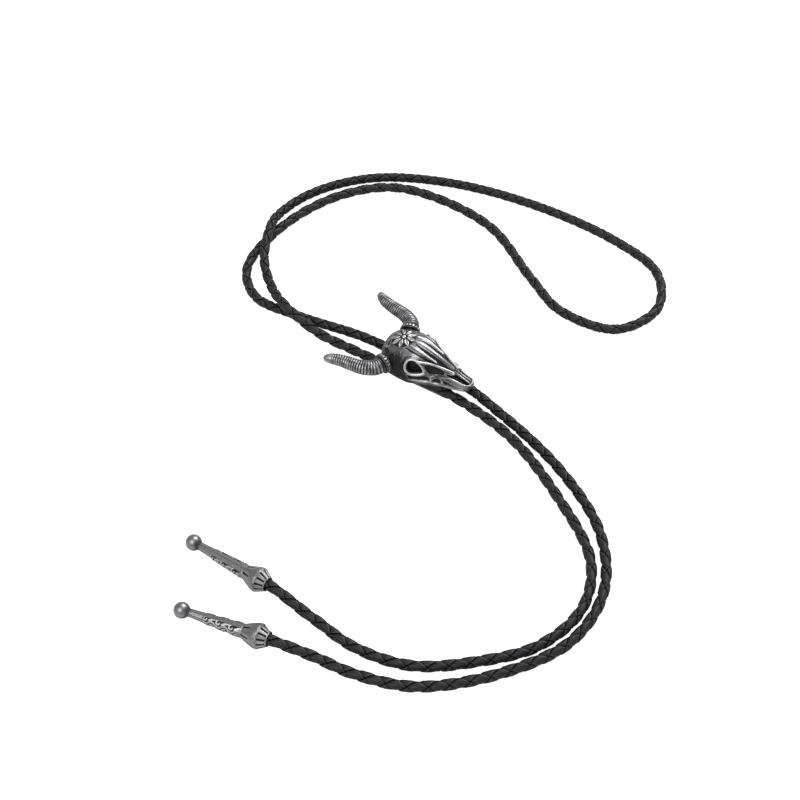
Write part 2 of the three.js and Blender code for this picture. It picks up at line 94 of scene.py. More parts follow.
def smoothTable(x, xs, ys):
    # Monotone cubic through the rows of a table
    xs, ys = np.asarray(xs, float), np.asarray(ys, float)
    gap, slope = np.diff(xs), np.diff(ys) / np.diff(xs)
    before, after = slope[:-1], slope[1:]
    total = np.where(after + before == 0, 1, after + before)
    inner = np.where(after * before > 0, 2 * after * before / total, 0)
    tangent = np.concatenate([[slope[0]], inner, [slope[-1]]])
    row = np.clip(np.searchsorted(xs, x, side="right") - 1, 0, len(gap) - 1)
    t = np.clip((x - xs[row]) / gap[row], 0, 1)
    a, b = tangent[row] * gap[row], tangent[row + 1] * gap[row]
    rise = ys[row + 1] - ys[row]
    return ys[row] + a * t + (3 * rise - 2 * a - b) * t ** 2 + (a + b - 2 * rise) * t ** 3


def ease(x, low, high):
    t = np.clip((x - low) / (high - low), 0, 1)
    return t * t * (3 - 2 * t)


def fromSector(angle, count, shift=0):
    # Signed angle from the middle of the nearest of so many equal sectors
    sector = 2 * math.pi / count
    return (angle + sector / 2 + shift) % sector - sector / 2


def averaged(field, reach, closed=False):
    # Mean over a square of neighbours, along both sides of the grid
    for axis in (0, 1):
        pad = [(0, 0), (0, 0)]
        pad[axis] = (reach + 1, reach)
        wide = np.pad(field, pad, mode="wrap" if closed and axis == 1 else "edge")
        total = np.cumsum(wide, axis=axis)
        n = field.shape[axis]
        take = [slice(None), slice(None)]
        drop = [slice(None), slice(None)]
        take[axis] = slice(2 * reach + 1, 2 * reach + 1 + n)
        drop[axis] = slice(0, n)
        field = (total[tuple(take)] - total[tuple(drop)]) / (2 * reach + 1)
    return field


def gridMesh(name, grids, facts):
    # One mesh from grids of points; rows run along, columns run round, and both end rows are capped
    points, faces, caps, values = [], [], [], {key: [] for key in facts}
    base = 0
    for g, grid in enumerate(grids):
        rows, cols = grid.shape[:2]
        points.append(grid.reshape(-1, 3))
        for key in facts:
            values[key].append(np.asarray(facts[key][g], float).reshape(-1))
        i, j = np.meshgrid(np.arange(rows - 1), np.arange(cols), indexing="ij")
        k = (j + 1) % cols
        quads = np.stack([i * cols + j, (i + 1) * cols + j, (i + 1) * cols + k, i * cols + k], -1)
        faces.append(quads.reshape(-1, 4) + base)
        lastRow = base + (rows - 1) * cols
        caps.append(list(range(base, base + cols)))
        caps.append(list(reversed(range(lastRow, lastRow + cols))))
        base += rows * cols
    allPoints = np.vstack(points) * mm
    polygons = np.vstack(faces).tolist() + caps
    mesh = bpy.data.meshes.new(name)
    mesh.from_pydata(allPoints.tolist(), [], polygons)
    mesh.shade_smooth()
    for key in facts:
        layer = mesh.attributes.new(key, "FLOAT", "POINT")
        layer.data.foreach_set("value", np.concatenate(values[key]).astype(np.float32))
    mesh.validate()
    piece = bpy.data.objects.new(name, mesh)
    bpy.context.collection.objects.link(piece)
    return piece


# Cord: four flat laces braided round, laid from tip to tip
cord = {
    "diameter": 3.8, "pitch": 13.0, "laceWidth": 3.75, "laceThickness": 1.1, "wave": 0.38, "surface": 1.6,
    "step": 0.62, "channelSpacing": 6.8, "channelHeight": 3.0, "channelReach": 10.0, "lead": 2.0,
    "roll": [(0, 10), (0.1, 0), (0.25, 0), (0.36, -45), (0.45, -45), (0.74, -135), (0.9, -180), (1, -180)],
    "plateau": 0.8, "perSpan": 60, "tangentReach": 0.4, "pathPoints": 700,
}
laceProfile = np.array([
    # across in lace widths, rise in half thicknesses
    (-0.5, -0.5), (-0.49, 0.35), (-0.44, 0.8), (-0.3, 0.96), (0, 1), (0.3, 0.96), (0.44, 0.8), (0.49, 0.35),
    (0.5, -0.5), (0, -0.9), (-0.3, -0.8),
])
upperStrand = [
    (-105.5, -20.0, 0), (-107.5, -37.0, 0), (-103.9, -55.2, 0), (-91.9, -72.0, 0), (-76.5, -85.8, 0),
    (-57.3, -90.9, 0), (-39.5, -84.7, 0), (-22.1, -63.0, 0), (-7.9, -36.3, 0),
]
neckLoop = [
    (-2.7, 30.0, 0), (-3.1, 46.0, 1.0), (-0.9, 62.0, 4.8), (8.0, 74.8, 1.1), (17.4, 84.1, 1.7),
    (29.3, 89.7, 4.7), (41.5, 93.4, 1.3), (59.0, 89.8, 0), (78.6, 74.4, 0), (92.2, 47.6, 0),
    (98.9, 12.0, 0), (97.6, -25.0, 0),
    (90.5, -45.6, 0), (73.5, -53.9, 0), (56.4, -45.4, 0), (54.0, -24.0, 0), (63.0, -6.5, 0), (79.0, 20.0, 0),
    (82.2, 47.0, 0), (77.7, 65.5, 0), (62.0, 80.6, 0), (36.5, 89.3, 0), (11.2, 87.8, 0), (0.4, 76.0, 0),
    (0.9, 57.0, 0), (4.7, 30.0, 0),
]
lowerStrand = [
    (-0.2, -27.5, 0), (-11.6, -58.4, 0), (-27.9, -82.2, 0), (-48.0, -93.9, 0), (-70.0, -93.6, 0),
    (-91.8, -80.3, 0), (-109.4, -60.5, 0), (-115.6, -42.0, 0), (-117.2, -27.5, 0.3),
]

# Tips: made along y from the middle of the ball, then laid down on the ball and the bell
tip = {
    "length": 33.7, "ball": 5.5, "neck": 2.8, "shaft": 5.0, "bell": 8.6, "bellLength": 8.8, "bevel": 3.2,
    "lip": 0.3, "socket": 2.0, "flutes": 12, "fluteWidth": 0.75, "fluteDepth": 0.45,
    "scrollHeight": 0.22, "gap": 0.3,
}
tipPlaces = {
    "upper_tip": {"mouth": (-103.85, -1.6), "heading": -93.1, "roll": 100},
    "lower_tip": {"mouth": (-120.5, -13.6), "heading": -81.1, "roll": 62},
}
tipAxis = tip["length"] - tip["ball"] / 2
tipWidest = tipAxis - tip["bevel"]
tipTilt = math.asin((tip["bell"] - tip["ball"]) / 2 / tipWidest)


def tipAxes(place):
    turn = math.radians(place["heading"])
    level = math.cos(tipTilt)
    ahead = np.array([math.cos(turn) * level, math.sin(turn) * level, math.sin(tipTilt)])
    side = unit(np.cross(ahead, [0, 0, 1]))
    over = np.cross(side, ahead)
    ball = np.array([*place["mouth"], 0.0]) - ahead * tipAxis
    ball[2] = tip["ball"] / 2
    return ball, side, ahead, over


def cordPoints():
    radius = cord["diameter"] / 2
    ends = []
    for place in tipPlaces.values():
        ball, side, ahead, over = tipAxes(place)
        inTip = (tipAxis - tip["socket"] + tip["gap"], tipAxis + cord["lead"])
        ends.append([tuple(ball + ahead * along) for along in inTip])
    lay = lambda rows: [(x, y, radius + lift) for x, y, lift in rows]
    x, y, z = cord["channelSpacing"] / 2, cord["channelReach"], cord["channelHeight"]
    return [*ends[0], *lay(upperStrand), (-x, -y, z), (-x, y, z), *lay(neckLoop), (x, y, z), (x, -y, z),
            *lay(lowerStrand), *ends[1][::-1]]


def braidCord():
    radius = cord["diameter"] / 2
    route = smoothRoute(cordPoints(), cord["perSpan"])
    route[:, 2] = np.maximum(route[:, 2], radius)
    distance = travelled(route)
    length = distance[-1]
    facing = np.array(viewFacing())

    def onRoute(s):
        s = np.clip(s, 0, length)
        return np.stack([np.interp(s, distance, route[:, k]) for k in range(3)], -1)

    rollAlong, rollTurn = np.array(cord["roll"], float).T
    speed = 2 * math.pi / cord["pitch"]
    slant = math.atan(speed * cord["surface"])
    middle = radius - cord["wave"] - cord["laceThickness"] / 2
    across = laceProfile[:, 0] * cord["laceWidth"]
    rise = laceProfile[:, 1] * cord["laceThickness"] / 2
    edge = np.abs(across) / cord["laceWidth"] * 2
    plateau, reach = cord["plateau"], cord["tangentReach"]
    grids, lifts, edges = [], [], []
    stations = np.linspace(0, length, int(length / cord["step"]))
    for turnSign in (1, -1):
        for lace in (0, 1):
            s = stations[:, None]
            sHere = s - turnSign * math.sin(slant) * across
            angle = turnSign * speed * s + lace * math.pi + math.cos(slant) * across / cord["surface"]
            # A lace lies over or under the others most of the way and crosses between them quickly
            lift = turnSign * np.cos(angle + turnSign * speed * sHere - lace * math.pi)
            swing = lift * (1 + plateau - plateau * lift ** 2)
            out = middle + cord["wave"] * swing + rise
            sHere = np.clip(sHere, 0, length)
            ahead = unit(onRoute(sHere + reach) - onRoute(sHere - reach))
            front = unit(facing - (ahead @ facing)[..., None] * ahead)
            side = np.cross(ahead, front)
            turned = angle + np.radians(np.interp(sHere / length, rollAlong, rollTurn))
            radial = front * np.cos(turned)[..., None] + side * np.sin(turned)[..., None]
            grids.append(onRoute(sHere) + radial * out[..., None])
            lifts.append(lift)
            edges.append(np.broadcast_to(edge, lift.shape))
    piece = gridMesh("braided_cord", grids, {"laceLift": lifts, "laceEdge": edges})
    path = [tuple(p) for p in onRoute(np.linspace(0, length, cord["pathPoints"])) * mm]
    print("string tie: cord braided,", round(length), "mm")
    return piece, path, length * mm


braid, braidPath, braidLength = braidCord()
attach(braid, "root")
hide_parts("cord")


# Skull of the slide; a place on it is its turn from the top in degrees and its share of the way to the snout
skull = {
    "length": 35.6, "width": 19.0, "depth": 13.2, "rear": 18.4, "back": 5.2, "footWidth": 0.8,
    "rows": 320, "topColumns": 240, "sideColumns": 22, "footColumns": 6, "endCrowding": 0.25,
    "smoothEnd": 0.03, "walkSteps": 40,
}
skullSections = np.array([
    # along, half width, underside, widest place, top
    (0, 0.2, 0.14, 0.3, 0.48), (0.017, 0.48, 0.08, 0.3, 0.62), (0.056, 0.7, 0.03, 0.3, 0.765),
    (0.124, 0.885, 0, 0.29, 0.885), (0.208, 0.97, 0, 0.29, 0.955), (0.292, 1, 0, 0.29, 0.985),
    (0.376, 1, 0, 0.29, 1), (0.447, 0.905, 0, 0.28, 0.97), (0.517, 0.78, 0, 0.27, 0.91),
    (0.629, 0.61, 0.01, 0.26, 0.8), (0.742, 0.49, 0.045, 0.26, 0.65), (0.854, 0.395, 0.09, 0.26, 0.49),
    (0.933, 0.33, 0.12, 0.26, 0.41), (0.978, 0.24, 0.145, 0.26, 0.36), (1, 0.09, 0.2, 0.27, 0.33),
])


def skullAt(along):
    shares = skullSections[:, 0]
    half, foot, waist, top = (smoothTable(along, shares, skullSections[:, k]) for k in (1, 2, 3, 4))
    levels = [skull["back"] + level * skull["depth"] for level in (foot, waist, top)]
    return half * skull["width"] / 2, *levels


def skullPlace(turn, along):
    # Point of the smooth skull under the relief; past 180 degrees the underside is flat
    half, foot, waist, top = skullAt(along)
    size = np.abs(turn)
    low = np.radians(np.clip(size - 90, 0, 90))
    high = np.radians(np.clip(size, 0, 90))
    share = skull["footWidth"]
    x = np.where(size <= 90, half * np.sin(high), half * (share + (1 - share) * np.cos(low)))
    x = np.where(size > 180, half * share * (1 - (size - 180) / 90), x)
    z = np.where(size <= 90, waist + (top - waist) * np.cos(high), waist - (waist - foot) * np.sin(low))
    y = skull["rear"] - along * skull["length"] + 0 * turn
    return np.stack([np.sign(turn) * x, y, z], -1)


def onSheet(places):
    # Places as millimetres round from the top and millimetres along
    flat = []
    for turn, along in places:
        walk = skullPlace(np.linspace(0, abs(turn), skull["walkSteps"]), np.full(skull["walkSteps"], along))
        flat.append((math.copysign(travelled(walk)[-1], turn), along * skull["length"]))
    return np.array(flat)


def sheetSpot(item):
    return onSheet([(item["turn"], item["along"])])[0]


def lineGap(u, v, line):
    # Distance from each point of the sheet to a line, and how far along the line it is
    best, share = np.full(u.shape, 1e6), np.zeros(u.shape)
    far = travelled(line)
    for i in range(len(line) - 1):
        (au, av), (du, dv) = line[i], line[i + 1] - line[i]
        t = np.clip(((u - au) * du + (v - av) * dv) / max(du * du + dv * dv, 1e-9), 0, 1)
        gap = np.hypot(u - au - t * du, v - av - t * dv)
        closer = gap < best
        best = np.where(closer, gap, best)
        share = np.where(closer, (far[i] + t * (far[i + 1] - far[i])) / far[-1], share)
    return best, share


def ringDepth(u, v, ring):
    # Distance inside a closed outline, negative outside
    gap, share = lineGap(u, v, np.vstack([ring, ring[:1]]))
    inside = np.zeros(u.shape, bool)
    for (au, av), (bu, bv) in zip(ring, np.roll(ring, -1, axis=0)):
        crosses = (av > v) != (bv > v)
        inside ^= crosses & (u < (bu - au) * (v - av) / ((bv - av) or 1e-9) + au)
    return np.where(inside, gap, -gap)


def closedCurve(points, perSpan=6):
    pts = np.asarray(points, float)
    looped = np.vstack([pts[-2:], pts, pts[:3]])
    curve = smoothRoute(looped, perSpan)
    return curve[2 * perSpan:(2 + len(pts)) * perSpan]


# Relief of the skull, the same on both sides: hollows and grooves first, then the bars over them.
# A row of a line is its turn and its share along, then its half width in millimetres.
edgeSoftness = {"hollowStart": -0.05, "grooveFloor": 0.35, "grooveEdge": 1.15, "barSink": 0.02}
hollows = [
    {"name": "nostril", "depth": 1.5, "wall": 0.35,
     "ring": [(42, 0.745), (31, 0.8), (18, 0.82), (12, 0.845), (12, 0.9), (13, 0.945), (20, 0.972),
              (34, 0.974), (42, 0.955), (43, 0.91), (43, 0.86), (45, 0.8), (46, 0.765)]},
    {"name": "cheek", "depth": 0.5, "wall": 0.5,
     "ring": [(47, 0.53), (41, 0.58), (38, 0.64), (38, 0.7), (42, 0.735), (53, 0.72), (56, 0.67), (63, 0.63),
              (65, 0.6), (59, 0.56)]},
    {"name": "rear jaw cell", "depth": 0.8, "wall": 0.4,
     "ring": [(80, 0.414), (80, 0.49), (75, 0.565), (80, 0.6), (89, 0.6), (95, 0.555), (94, 0.468),
              (89, 0.416)]},
    {"name": "middle jaw cell", "depth": 0.7, "wall": 0.35,
     "ring": [(86, 0.63), (77, 0.652), (74, 0.695), (85, 0.716), (96, 0.69), (96, 0.64)]},
    {"name": "front jaw cell", "depth": 0.6, "wall": 0.35,
     "ring": [(75, 0.738), (75, 0.77), (80, 0.82), (90, 0.855), (103, 0.81), (97, 0.756), (85, 0.737)]},
    {"name": "crown, middle", "depth": 0.45, "wall": 0.3,
     "ring": [(14, 0.07), (24, 0.06), (33, 0.07), (34, 0.095), (24, 0.1), (15, 0.09)]},
    {"name": "crown, side", "depth": 0.4, "wall": 0.4,
     "ring": [(42, 0.07), (52, 0.07), (56, 0.11), (50, 0.145), (42, 0.13), (38, 0.1)]},
    {"name": "back corner", "depth": 0.35, "wall": 0.4,
     "ring": [(104, 0.2), (104, 0.3), (110, 0.385), (140, 0.39), (150, 0.2)]},
]
grooves = [
    {"name": "middle of the septum", "depth": 0.4,
     "line": [(0, 0.81, 0.14), (0, 0.87, 0.18), (0, 0.96, 0.16)]},
    {"name": "between the ridges", "depth": 0.6,
     "line": [(7, 0.36, 0.2), (10, 0.43, 0.45), (12.5, 0.53, 0.55), (16, 0.64, 0.75), (19, 0.73, 0.85),
              (20, 0.8, 0.7)]},
    {"name": "over the cheek", "depth": 0.4,
     "line": [(22, 0.27, 0.25), (26, 0.36, 0.5), (29, 0.46, 0.45), (30.5, 0.55, 0.4), (28, 0.64, 0.35),
              (25, 0.7, 0.3)]},
    {"name": "round the eye", "depth": 0.18,
     "line": [(78, 0.44, 0.3), (77, 0.38, 0.35), (68, 0.335, 0.35), (54, 0.325, 0.35), (42, 0.34, 0.35),
              (36, 0.38, 0.3)]},
]
bars = [
    {"name": "middle ridge", "height": 0.6,
     "line": [(0, 0.35, 0.28), (0, 0.42, 0.44), (0, 0.6, 0.52), (0, 0.775, 0.64)]},
    {"name": "side ridge", "height": 0.55,
     "line": [(14, 0.32, 0.24), (17, 0.4, 0.42), (20, 0.49, 0.46), (24.5, 0.62, 0.4)]},
    {"name": "cheek rod", "height": 0.8,
     "line": [(43, 0.45, 0.36), (38, 0.55, 0.46), (33, 0.65, 0.52), (27, 0.74, 0.58), (20.5, 0.8, 0.62)]},
    {"name": "septum rail", "height": 0.4,
     "line": [(7, 0.8, 0.24), (7, 0.86, 0.26), (8, 0.92, 0.26), (11, 0.965, 0.28)]},
    {"name": "snout rim", "height": 0.35,
     "line": [(60, 0.735, 0.35), (53, 0.8, 0.42), (52, 0.87, 0.42), (52, 0.93, 0.4), (50, 0.97, 0.4),
              (36, 0.988, 0.38), (0, 0.99, 0.38)]},
    {"name": "cheekbone", "height": 0.35,
     "line": [(79, 0.385, 0.25), (77, 0.465, 0.3), (68, 0.545, 0.3), (68, 0.58, 0.28), (72, 0.605, 0.28),
              (68, 0.64, 0.28), (60, 0.663, 0.3), (64, 0.7, 0.3), (62, 0.74, 0.32)]},
    {"name": "cheek strut", "height": 0.3, "line": [(58, 0.55, 0.2), (63, 0.578, 0.22), (67, 0.6, 0.2)]},
    {"name": "rear cell bar", "height": 0.25,
     "line": [(73, 0.612, 0.25), (86, 0.616, 0.25), (98, 0.612, 0.25)]},
    {"name": "front cell bar", "height": 0.25,
     "line": [(65, 0.715, 0.25), (80, 0.728, 0.25), (98, 0.727, 0.25)]},
    {"name": "jaw rim", "height": 0.3,
     "line": [(98, 0.39, 0.3), (98, 0.47, 0.32), (101, 0.54, 0.32), (100, 0.61, 0.32), (107, 0.69, 0.32),
              (115, 0.78, 0.34), (118, 0.86, 0.34), (105, 0.94, 0.36)]},
    {"name": "back corner rim", "height": 0.25,
     "line": [(97, 0.215, 0.2), (98, 0.3, 0.22), (105, 0.385, 0.22)]},
    {"name": "crown rim", "height": 0.3,
     "line": [(0, 0.035, 0.25), (22, 0.035, 0.28), (45, 0.04, 0.28), (66, 0.05, 0.28), (84, 0.07, 0.25)]},
    {"name": "crown rib", "height": 0.25, "line": [(38, 0.045, 0.22), (36, 0.085, 0.22), (33, 0.12, 0.2)]},
]
eye = {
    "depth": 2.6, "wall": 0.4, "rimHeight": 0.6, "rimHalf": 0.46, "rimSeat": 0.85,
    "ring": [(56, 0.367), (49, 0.376), (45, 0.397), (44, 0.43), (48, 0.472), (55, 0.511), (63, 0.531),
             (69, 0.507), (72.5, 0.466), (73, 0.423), (69, 0.391), (63, 0.372)],
}
flower = {
    "along": 0.206, "reach": 4.6, "petals": 9, "start": 1.1, "halfWidth": 0.8, "height": 0.42, "edge": 0.2,
    "bulge": 1.1, "bluntness": 0.75, "slot": 0.16, "slotEdge": 0.38, "slotFloor": 0.6, "boss": 0.8,
    "bossHeight": 0.6, "ground": 0.34, "groundFlat": 0.8, "margin": 0.1, "stain": 0.36, "stainEdge": 0.06,
    "stainReach": 0.94, "polish": 0.02,
}
curl = {"turns": 1.6, "height": 0.16, "halfWidth": 0.26, "points": 40}
scrolls = [
    {"turn": 45, "along": 0.235, "radius": 1.9, "start": 40, "sense": 1},
    {"turn": 62, "along": 0.19, "radius": 1.5, "start": 200, "sense": -1},
    {"turn": 60, "along": 0.29, "radius": 1.2, "start": 120, "sense": 1},
]
swells = [
    # Soft bumps: turn, along, reach round, reach along, height
    {"turn": 38, "along": 0.44, "round": 2.6, "long": 3.0, "height": 0.45},
    {"turn": 46, "along": 0.62, "round": 2.4, "long": 2.6, "height": -0.35},
]
tones = [
    # Patina left in broad places, or rubbed off where it is below zero: turn, along, reach round, reach along
    {"turn": 66, "along": 0.24, "round": 4.4, "long": 4.6, "amount": 0.3},
    {"turn": 0, "along": 0.2, "round": 5.0, "long": 6.0, "amount": -0.12},
    {"turn": 20, "along": 0.4, "round": 4.0, "long": 5.0, "amount": -0.08},
    {"turn": 46, "along": 0.37, "round": 2.0, "long": 2.0, "amount": -0.1},
    {"turn": 50, "along": 0.64, "round": 2.0, "long": 3.6, "amount": 0.16},
    {"turn": 120, "along": 0.3, "round": 5.0, "long": 6.0, "amount": 0.3},
    {"turn": 85, "along": 0.93, "round": 2.0, "long": 3.0, "amount": -0.12},
]
skullWear = {"base": 0.44, "cavity": 0.62, "height": 0.3, "deep": 0.6, "deepStart": 0.55, "deepEnd": 1.1,
             "wideMean": 7, "closeMean": 5}


def softSpot(item, side, v):
    cu, cv = sheetSpot(item)
    return np.exp(-((side - cu) / item["round"]) ** 2 - ((v - cv) / item["long"]) ** 2)


def strokeGap(rows, side, v):
    # Distance to a drawn line, in half widths of the line there
    places = onSheet([row[:2] for row in rows])
    gap, share = lineGap(side, v, smoothRoute(places, 8))
    stops = travelled(places)
    return gap / np.interp(share, stops / stops[-1], [row[2] for row in rows])


def carveEye(height, side, v):
    # A deep hollow with a thick smooth rim
    depth = ringDepth(side, v, closedCurve(onSheet(eye["ring"])))
    rimGap = np.abs(depth + eye["rimHalf"] * eye["rimSeat"]) / eye["rimHalf"]
    rim = eye["rimHeight"] * np.sqrt(np.clip(1 - rimGap ** 2, 0, 1))
    height = np.where(rimGap < 1, np.maximum(height, rim), height)
    return np.where(depth > 0, -eye["depth"] * ease(depth, 0, eye["wall"]), height)


def setFlower(height, u, v):
    # Open petals round a boss on the forehead, on a sunk ground that keeps the patina
    v0 = flower["along"] * skull["length"]
    far, heading = np.hypot(u, v - v0), np.arctan2(v - v0, u)
    petal = fromSector(heading - math.pi / 2, flower["petals"])
    ahead, across = far * np.cos(petal), far * np.abs(np.sin(petal))
    share = np.clip((ahead - flower["start"]) / (flower["reach"] - flower["start"]), 0, 1)
    halfHere = flower["halfWidth"] * np.sin(math.pi * share ** flower["bulge"]) ** flower["bluntness"]
    inside = halfHere - across
    leaf = (flower["height"] * ease(inside, 0.0, flower["edge"])
            - flower["slot"] * ease(inside, flower["slotEdge"], flower["slotFloor"]))
    ground = -flower["ground"] * (1 - ease(far, flower["reach"] * flower["groundFlat"], flower["reach"]))
    boss = flower["bossHeight"] * np.sqrt(np.clip(1 - (far / flower["boss"]) ** 2, 0, 1))
    bloom = np.where(inside > 0, leaf, ground)
    onFlower = far < flower["reach"] + flower["margin"]
    height = np.where(onFlower, np.maximum(bloom, boss), height)
    inGround = (far > flower["boss"]) & (far < flower["reach"] * flower["stainReach"])
    gaps = (inside <= flower["stainEdge"]) & inGround
    onPetal = onFlower & (inside > flower["margin"])
    return height, np.where(gaps, flower["stain"], np.where(onPetal, -flower["polish"], 0.0))


def templeCurls(side, v):
    # Faint spirals on the temples
    raised = np.zeros(side.shape)
    t = np.linspace(0, 1, curl["points"])
    for scroll in scrolls:
        cu, cv = sheetSpot(scroll)
        angle = math.radians(scroll["start"]) + scroll["sense"] * t * curl["turns"] * 2 * math.pi
        reach = scroll["radius"] * t
        spiral = np.stack([cu + np.cos(angle) * reach, cv + np.sin(angle) * reach], -1)
        gap, share = lineGap(side, v, spiral)
        raised += curl["height"] * np.clip(1 - (gap / curl["halfWidth"]) ** 2, 0, 1)
    return raised


def skullRelief(u, v):
    side = np.abs(u)
    soft = edgeSoftness
    swollen = sum(swell["height"] * softSpot(swell, side, v) for swell in swells)
    height = swollen.copy()
    for hollow in hollows:
        depth = ringDepth(side, v, closedCurve(onSheet(hollow["ring"])))
        height -= hollow["depth"] * ease(depth, soft["hollowStart"], hollow["wall"])
    for groove in grooves:
        gap = strokeGap(groove["line"], side, v)
        height -= groove["depth"] * (1 - ease(gap, soft["grooveFloor"], soft["grooveEdge"]))
    for bar in bars:
        gap = strokeGap(bar["line"], side, v)
        crown = np.sqrt(np.clip(1 - gap ** 2, 0, 1))
        top = swollen + bar["height"] * crown - soft["barSink"]
        height = np.where(gap < 1, np.maximum(height, top), height)
    height = carveEye(height, side, v)
    height, stain = setFlower(height, u, v)
    return height + templeCurls(side, v), stain


def skullGrid():
    t = np.linspace(0, 1, skull["rows"])
    crowding = skull["endCrowding"]
    along = (1 - crowding) * t + crowding * (1 - np.cos(math.pi * t)) / 2
    top = np.linspace(-90, 90, skull["topColumns"] + 1)
    low = np.linspace(90, 180, skull["sideColumns"] + 1)[1:]
    foot = np.linspace(180, 270, skull["footColumns"] + 1)[1:-1]
    turn = np.concatenate([-foot[::-1], -low[::-1], top, low, foot])
    return np.meshgrid(turn, along)


def buildSkull():
    turns, alongs = skullGrid()
    base = skullPlace(turns, alongs)
    step = np.linalg.norm(np.diff(base, axis=1), axis=-1)
    middle = int(np.argmin(np.abs(turns[0])))
    u = np.zeros(turns.shape)
    u[:, middle + 1:] = np.cumsum(step[:, middle:], axis=1)
    u[:, :middle] = -np.cumsum(step[:, :middle][:, ::-1], axis=1)[:, ::-1]
    v = alongs * skull["length"]
    height, stain = skullRelief(u, v)
    height = np.where(np.abs(turns) > 180, 0, height)
    # The relief dies out at the crown, where the rows close up
    height *= ease(alongs, 0.0, skull["smoothEnd"])
    roundWay = unit(np.gradient(base, axis=1))
    longWay = unit(np.gradient(base, axis=0))
    out = unit(np.cross(longWay, roundWay))
    out *= np.sign(np.sum(out * (base - base.mean(axis=1, keepdims=True)), axis=-1, keepdims=True))
    grid = base + out * height[..., None]
    # Wear: bright on what stands out from its surroundings, dark in what lies deep
    cavity = height - averaged(averaged(height, skullWear["wideMean"]), skullWear["closeMean"])
    wear = skullWear["base"] + cavity * skullWear["cavity"] + np.minimum(height, 0) * skullWear["height"]
    wear -= skullWear["deep"] * ease(-height, skullWear["deepStart"], skullWear["deepEnd"]) + stain
    side = np.abs(u)
    for tone in tones:
        wear -= tone["amount"] * softSpot(tone, side, v)
    return grid, np.clip(wear, 0, 1)


# Horns and collars
horn = {
    "root": (7.0, 13.4), "tip": (18.9, 33.0), "height": 10.8, "rise": 0.6, "girth": 5.8,
    "ribs": 28, "ribDepth": 0.22, "ribWidth": 0.2, "ribFade": 0.06, "smoothTip": 0.9, "tipRound": 0.9,
    "closing": 0.0004, "sides": 48, "stations": 300, "perSpan": 40,
}
hornWear = {"base": 0.56, "groove": 0.34, "streak": 0.05, "root": 0.4, "rootStart": 0.1, "rootEnd": 0.18}
hornLine = np.array([
    # out, back, rise, girth
    (0, 0, 0, 1), (0.17, 0.034, 0, 1), (0.405, 0.092, 0, 1), (0.556, 0.194, 0, 0.94), (0.659, 0.347, 0, 0.89),
    (0.706, 0.515, 0.2, 0.85), (0.746, 0.668, 0.4, 0.8), (0.81, 0.811, 0.6, 0.74), (0.889, 0.918, 0.8, 0.62),
    (1, 1, 1, 0.38),
])
collar = {
    "diameter": 7.4, "width": 2.0, "blocks": 18, "blockHeight": 0.06, "groove": 0.34, "row": 1, "rings": 44,
    "sides": 180, "rim": (0.66, 0.76), "blockEdge": (0.3, 0.38), "blockEnd": (0.4, 0.52), "round": 0.2,
    "roundDepth": 0.5,
}
collarWear = {"base": 0.12, "rim": 0.34, "block": 0.46, "round": 0.25}


def hornRoute():
    (x0, y0), (x1, y1) = horn["root"], horn["tip"]
    points = [(x0 + (x1 - x0) * out, y0 + (y1 - y0) * back, horn["height"] + horn["rise"] * rise)
              for out, back, rise, girth in hornLine]
    return smoothRoute(points, horn["perSpan"])


def buildHorn():
    route = hornRoute()
    distance = travelled(route)
    rows = np.linspace(0, len(hornLine) - 1, len(route))
    share = np.linspace(0, 1, horn["stations"])
    s = share * distance[-1]
    middle = np.stack([np.interp(s, distance, route[:, k]) for k in range(3)], -1)
    girth = np.interp(np.interp(s, distance, rows), np.arange(len(hornLine)), hornLine[:, 3])
    ahead = unit(np.gradient(middle, axis=0))
    out = unit(np.cross([0, 0, 1], ahead))
    angle = np.linspace(0, 2 * math.pi, horn["sides"], endpoint=False)
    radius = horn["girth"] / 2 * girth
    # The tip closes in a blunt round end
    endLength = radius[-1] * horn["tipRound"]
    left = distance[-1] - s
    radius = radius * np.sqrt(np.clip(1 - np.clip(1 - left / endLength, 0, 1) ** 2, horn["closing"], 1))
    shares, angles = np.meshgrid(share, angle, indexing="ij")
    # The ribs wander a little round the horn and are cut unevenly
    wander = 0.05 * np.sin(angles + shares * 19) + 0.03 * np.sin(angles * 2 - shares * 31)
    uneven = 0.8 + 0.2 * np.sin(angles * 2 + shares * 9)
    beat = (shares * horn["ribs"] + wander) % 1
    groove = np.exp(-((beat - 0.5) / horn["ribWidth"]) ** 2)
    fade = 1 - ease(shares, horn["smoothTip"] - horn["ribFade"], horn["smoothTip"])
    depth = -horn["ribDepth"] * groove * fade * uneven
    wide = radius[:, None] + depth
    grid = (middle[:, None] + out[:, None] * (wide * np.cos(angles))[..., None]
            + np.array([0, 0, 1]) * (wide * np.sin(angles))[..., None])
    wear = hornWear["base"] - hornWear["groove"] * groove * fade
    wear += hornWear["streak"] * np.sin(angles * 3 + shares * 31)
    wear -= hornWear["root"] * (1 - ease(shares, hornWear["rootStart"], hornWear["rootEnd"]))
    return grid, np.clip(wear, 0, 1)


